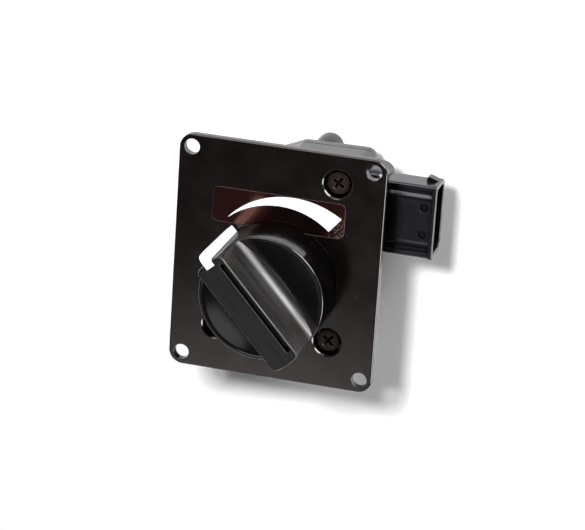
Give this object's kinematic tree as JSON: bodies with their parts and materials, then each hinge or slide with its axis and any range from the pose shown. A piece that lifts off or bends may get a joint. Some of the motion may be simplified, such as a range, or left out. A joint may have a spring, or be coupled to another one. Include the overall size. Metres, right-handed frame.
{
  "type": "rotary control switch",
  "caption": "Panel-mounted rotary control: rectangular black plate, bar-grip knob with white pointer and tapering scale, sealed rear housing with side connector.",
  "frame": {"origin": "on the knob axis at the level of the rear foot, where the unit rests when laid on its back", "axes": "+Z along the knob axis out of the front, +X towards the connector, +Y towards the scale"},
  "size_m": [0.0877, 0.084, 0.0716],
  "materials": {
    "plate_plastic": "glossy moulded black with a brown cast",
    "label_film": "glossy dark amber film",
    "white_ink": "screen-printed white",
    "knob_plastic": "satin black with a fine grain",
    "pointer_white": "satin white",
    "housing_plastic": "satin moulded black",
    "screw_bronze": "dark bronze plating",
    "brass": "turned brass",
    "steel": "bright turned steel",
    "seal_rubber": "matt black rubber",
    "rotor_nylon": "natural nylon",
    "board_laminate": "green solder resist",
    "carbon_ink": "matt carbon ink",
    "silver_ink": "silver ink",
    "tinned_copper": "tin plate"
  },
  "bodies": {
    "unit": {"face_plate": "plate_plastic", "scale_label": "label_film", "scale_wedge": "white_ink", "plate_screw_1": "screw_bronze", "plate_screw_2": "screw_bronze", "plate_screw_3": "screw_bronze", "threaded_insert_1": "brass", "threaded_insert_2": "brass", "threaded_insert_3": "brass", "housing": "housing_plastic", "rear_cover": "housing_plastic", "cover_gasket": "seal_rubber", "cover_screw_1": "steel", "cover_screw_2": "steel", "cover_screw_3": "steel", "cover_screw_4": "steel", "plate_seal_ring": "seal_rubber", "shaft_bush": "brass", "shaft_seal_ring": "seal_rubber", "wave_washer": "steel", "circuit_board": "board_laminate", "resistive_track": "carbon_ink", "collector_track": "silver_ink", "terminal_pin_1": "tinned_copper", "terminal_pin_2": "tinned_copper", "terminal_pin_3": "tinned_copper", "terminal_pin_4": "tinned_copper"},
    "knob": {"knob_body": "knob_plastic", "pointer_insert": "pointer_white", "control_shaft": "steel", "retaining_ring": "steel", "wiper_rotor": "rotor_nylon", "wiper_contact": "tinned_copper"}
  },
  "joints": [
    {"name": "knob_turn", "type": "hinge", "parent": "unit", "child": "knob", "pos_m": [0, 0, 0.038], "axis": [0, 0, -1], "range_deg": [0, 86]}
  ]
}
